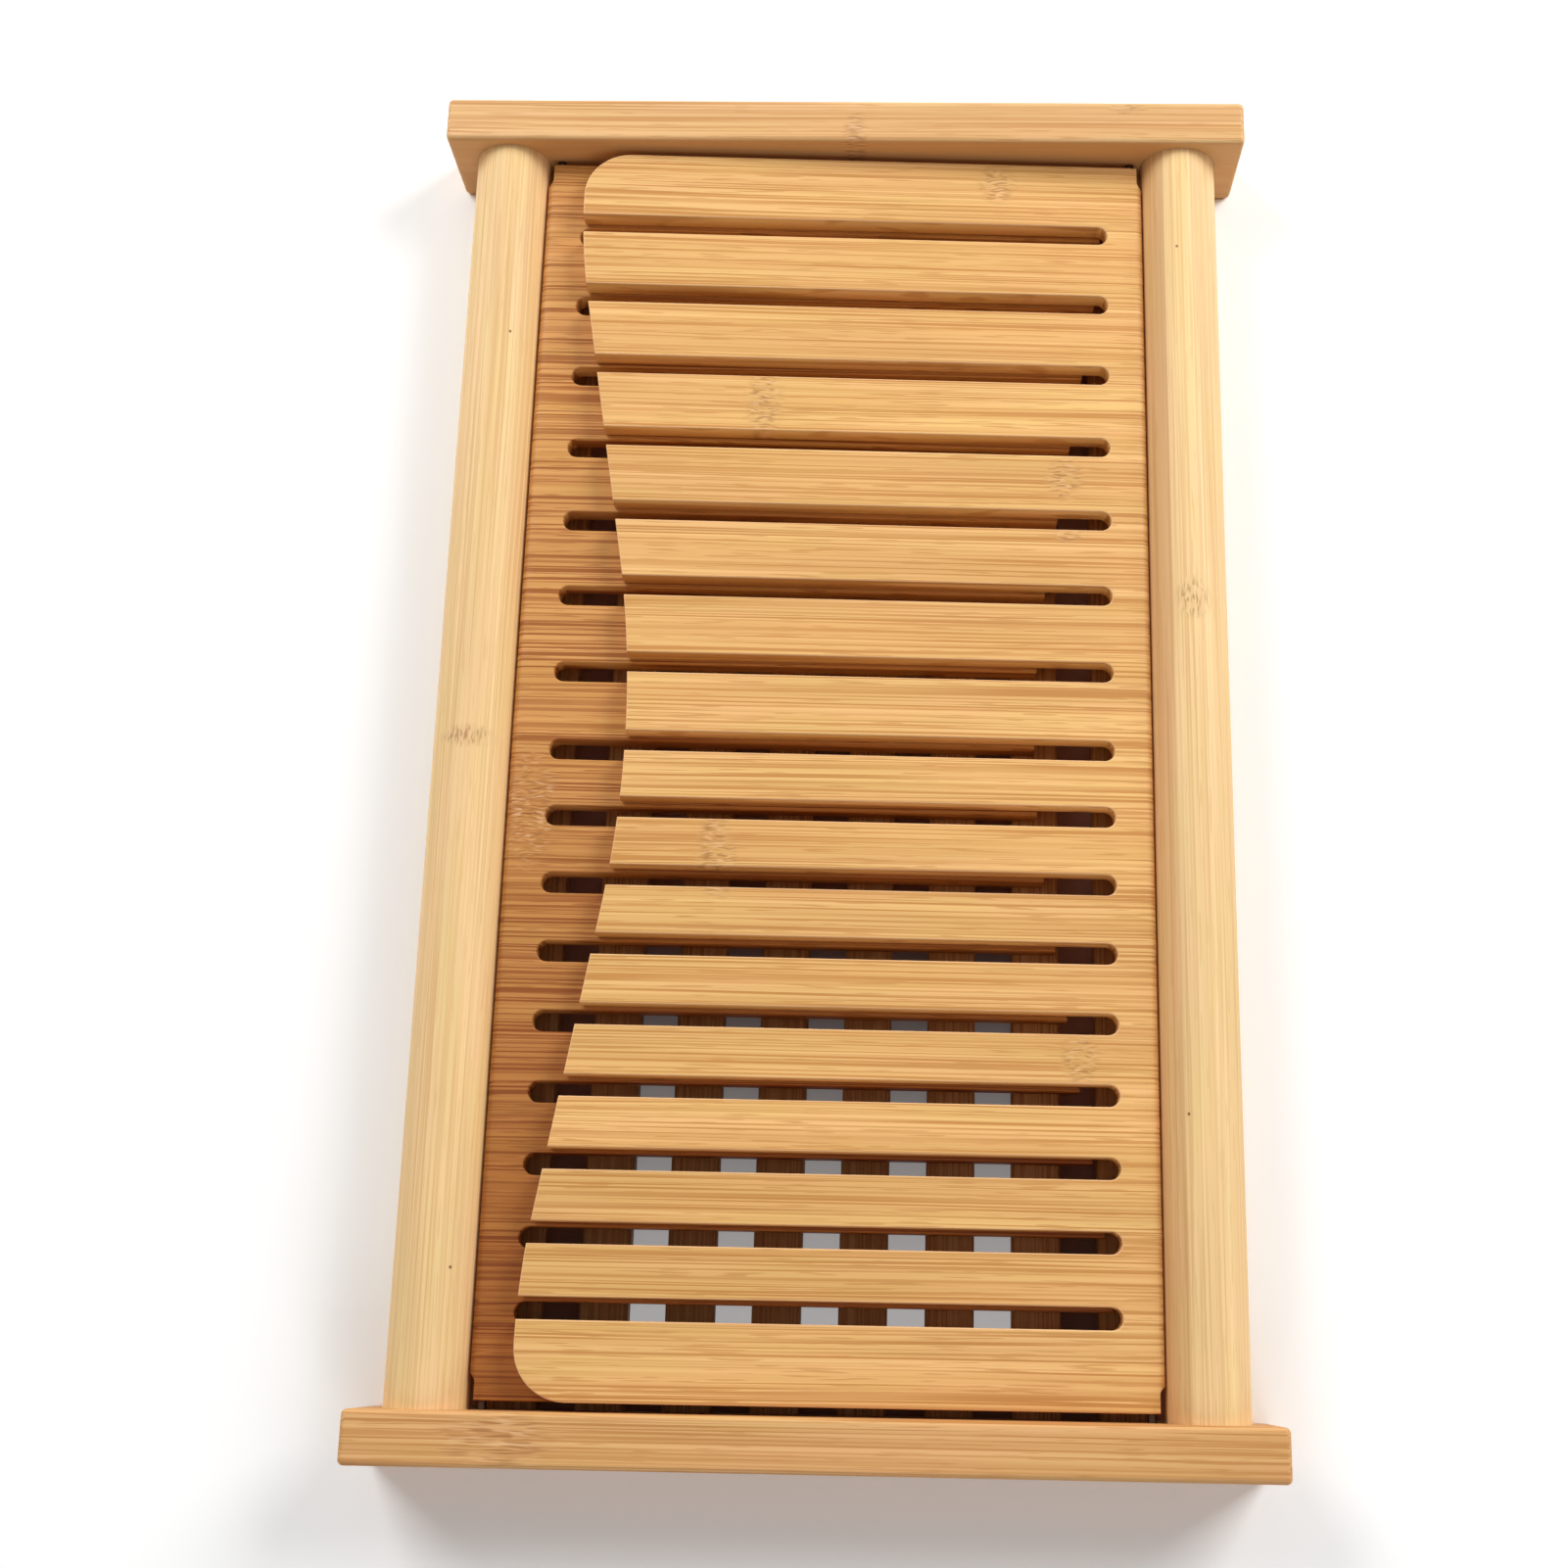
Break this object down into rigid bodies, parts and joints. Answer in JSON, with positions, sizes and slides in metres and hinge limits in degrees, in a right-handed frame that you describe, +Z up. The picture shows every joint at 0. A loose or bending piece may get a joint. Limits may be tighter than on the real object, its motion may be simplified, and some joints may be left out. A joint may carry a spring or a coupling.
{
  "type": "bread slicer guide",
  "caption": "Folding bamboo bread slicing guide: two slotted comb panels hinged between end rails over a slatted crumb base, with round side dowels, folded flat.",
  "frame": {"origin": "on the table, under the middle of the object", "axes": "+X towards the right dowel, +Y towards the far rail, where the wide slices are, +Z up"},
  "size_m": [0.156, 0.2566, 0.02],
  "materials": {
    "rail_bamboo": "oiled, fine grain along X, eased edges",
    "dowel_bamboo": "oiled, laminated from three strips, grain along Y",
    "upper_panel_bamboo": "oiled, fine grain along the fingers",
    "lower_panel_bamboo": "oiled, fine grain along the fingers",
    "slat_bamboo": "oiled, grain along Y",
    "pin_steel": "drawn wire"
  },
  "bodies": {
    "frame": {"near_rail": "rail_bamboo", "far_rail": "rail_bamboo", "left_dowel": "dowel_bamboo", "right_dowel": "dowel_bamboo", "slat_1": "slat_bamboo", "slat_2": "slat_bamboo", "slat_3": "slat_bamboo", "slat_4": "slat_bamboo", "slat_5": "slat_bamboo", "slat_6": "slat_bamboo", "slat_7": "slat_bamboo", "slat_8": "slat_bamboo"},
    "left_panel": {"left_panel": "lower_panel_bamboo", "left_near_hinge_pin": "pin_steel", "left_far_hinge_pin": "pin_steel"},
    "right_panel": {"right_panel": "upper_panel_bamboo", "right_near_hinge_pin": "pin_steel", "right_far_hinge_pin": "pin_steel"}
  },
  "joints": [
    {"name": "right_panel_hinge", "type": "hinge", "parent": "frame", "child": "right_panel", "pos_m": [0.05635, 0, 0.0115], "axis": [0, 1, 0], "range_deg": [0, 103]},
    {"name": "left_panel_hinge", "type": "hinge", "parent": "frame", "child": "left_panel", "pos_m": [-0.05635, 0, 0.0115], "axis": [0, -1, 0], "range_deg": [0, 0.06]}
  ]
}
